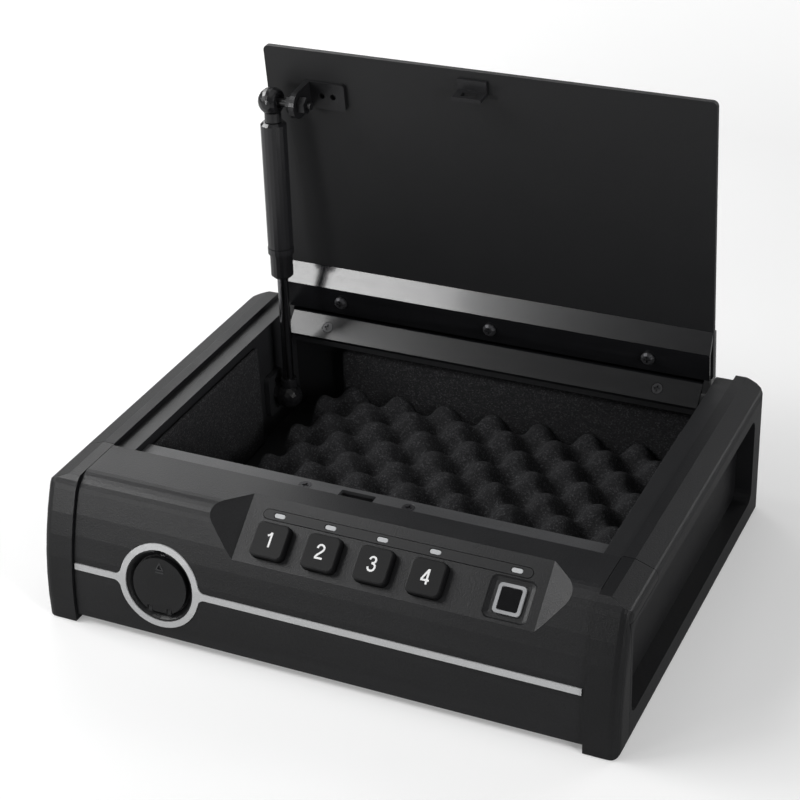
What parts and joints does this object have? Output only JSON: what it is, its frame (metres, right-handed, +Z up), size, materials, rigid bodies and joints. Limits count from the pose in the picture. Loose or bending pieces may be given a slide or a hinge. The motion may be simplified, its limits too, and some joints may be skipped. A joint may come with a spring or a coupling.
{
  "type": "portable car safe",
  "caption": "Flat portable steel safe with a moulded front, slanted keypad panel, key override, strut-held lid and foam-lined tray.",
  "frame": {"origin": "centre of the overall box on the surface that the side rails stand on, with the lid open as pictured", "axes": "+X to the right seen from the front, +Y from the keypad front to the rear hinge, +Z up"},
  "size_m": [0.304, 0.235, 0.2319],
  "materials": {
    "tub_steel": "fine textured dark grey powder coat",
    "strip_steel": "fine textured dark grey powder coat",
    "lid_steel": "fine textured dark grey powder coat",
    "cap_plastic": "fine grained charcoal moulding",
    "rail_plastic": "fine grained near-black moulding",
    "fascia_plastic": "fine grained charcoal moulding",
    "silver_trim": "silver paint",
    "black_screw": "black oxide",
    "key_plastic": "satin black with white numerals",
    "smoked_plastic": "smoked gloss",
    "lens_plastic": "clear milky light pipe",
    "bezel_chrome": "bright plated",
    "sensor_window": "black glass-like window",
    "board_plastic": "green solder mask",
    "lock_metal": "zinc plated",
    "lock_chrome": "bright plated",
    "latch_steel": "zinc plated",
    "box_plastic": "plain black moulding",
    "foam": "soft dark open-cell foam",
    "hinge_gloss": "smooth semi-gloss black extrusion",
    "strut_black": "gloss black",
    "rod_chrome": "ground and plated"
  },
  "bodies": {
    "case": {"tub": "tub_steel", "front_bulkhead": "tub_steel", "latch_strip": "strip_steel", "corner_cap_left": "cap_plastic", "corner_cap_right": "cap_plastic", "side_rail_left": "rail_plastic", "side_rail_right": "rail_plastic", "front_fascia": "fascia_plastic", "accent_stripe": "silver_trim", "latch_strip_screw_left": "black_screw", "latch_strip_screw_right": "black_screw", "light_bar": "smoked_plastic", "light_pipe": "lens_plastic", "sensor_bezel": "bezel_chrome", "sensor_glass": "sensor_window", "control_board": "board_plastic", "key_lock_body": "lock_metal", "latch_frame": "latch_steel", "solenoid_body": "latch_steel", "battery_box": "box_plastic", "battery_cover": "box_plastic", "battery_cover_screw": "black_screw", "foam_base": "foam", "foam_left": "foam", "foam_right": "foam", "foam_rear": "foam", "hinge_core_bar": "tub_steel", "hinge_cover_rail": "hinge_gloss", "hinge_cover_screw_left": "black_screw", "hinge_cover_screw_right": "black_screw", "hinge_pin_left": "lock_chrome", "hinge_pin_right": "lock_chrome", "strut_lower_stud": "latch_steel", "strut_lower_bracket": "tub_steel"},
    "lid": {"lid_plate": "lid_steel", "lid_hinge_rail": "hinge_gloss", "lid_rail_screw_left": "black_screw", "lid_rail_screw_middle": "black_screw", "lid_rail_screw_right": "black_screw", "striker": "latch_steel", "strut_upper_bracket": "lid_steel", "strut_upper_nut": "latch_steel"},
    "strut_rod_end": {"strut_lower_socket": "strut_black", "strut_rod": "rod_chrome"},
    "strut_cylinder": {"strut_gland": "strut_black", "strut_tube": "strut_black", "strut_upper_socket": "strut_black", "strut_upper_stud": "latch_steel"},
    "cover": {"key_cover": "cap_plastic"},
    "lock_plug": {"key_lock_plug": "lock_chrome", "key_lock_cam": "lock_metal"},
    "bolt": {"latch_bolt": "latch_steel", "solenoid_plunger": "lock_chrome"},
    "button_1": {"key_1": "key_plastic"},
    "button_2": {"key_2": "key_plastic"},
    "button_3": {"key_3": "key_plastic"},
    "button_4": {"key_4": "key_plastic"}
  },
  "joints": [
    {"name": "lid_hinge", "type": "hinge", "parent": "case", "child": "lid", "pos_m": [0, 0.10336, 0.0615], "axis": [1, 0, 0], "range_deg": [0, 84.72], "stiffness_Nm_per_rad": 0.9, "springref_deg": -17.19},
    {"name": "strut_swing", "type": "hinge", "parent": "case", "child": "strut_rod_end", "pos_m": [-0.1135, 0.07866, 0.0305], "axis": [1, 0, 0], "range_deg": [0, 80.23]},
    {"name": "strut_slide", "type": "slide", "parent": "strut_rod_end", "child": "strut_cylinder", "axis": [0, -0.0244, -0.9997], "range_m": [0, 0.05224]},
    {"name": "key_cover_hinge", "type": "hinge", "parent": "case", "child": "cover", "pos_m": [-0.0857, -0.11406, 0.01801], "axis": [1, 0, 0], "range_deg": [0, 100]},
    {"name": "lock_plug_turn", "type": "hinge", "parent": "case", "child": "lock_plug", "pos_m": [-0.0857, -0.10355, 0.02957], "axis": [0, -0.9849, 0.1729], "range_deg": [0, 90]},
    {"name": "latch_bolt_slide", "type": "slide", "parent": "case", "child": "bolt", "axis": [0, 1, 0], "range_m": [0, 0.0048]},
    {"name": "key_1_press", "type": "slide", "parent": "case", "child": "button_1", "axis": [0, 0.6293, -0.7771], "range_m": [0, 0.0012], "stiffness_N_per_m": 900, "springref_m": -0.0008},
    {"name": "key_2_press", "type": "slide", "parent": "case", "child": "button_2", "axis": [0, 0.6293, -0.7771], "range_m": [0, 0.0012], "stiffness_N_per_m": 900, "springref_m": -0.0008},
    {"name": "key_3_press", "type": "slide", "parent": "case", "child": "button_3", "axis": [0, 0.6293, -0.7771], "range_m": [0, 0.0012], "stiffness_N_per_m": 900, "springref_m": -0.0008},
    {"name": "key_4_press", "type": "slide", "parent": "case", "child": "button_4", "axis": [0, 0.6293, -0.7771], "range_m": [0, 0.0012], "stiffness_N_per_m": 900, "springref_m": -0.0008}
  ],
  "couplings": [
    {"joint": "strut_swing", "follows": "lid_hinge", "ratio": 0.9468},
    {"joint": "strut_slide", "follows": "lid_hinge", "m_per_rad": 0.035261}
  ]
}
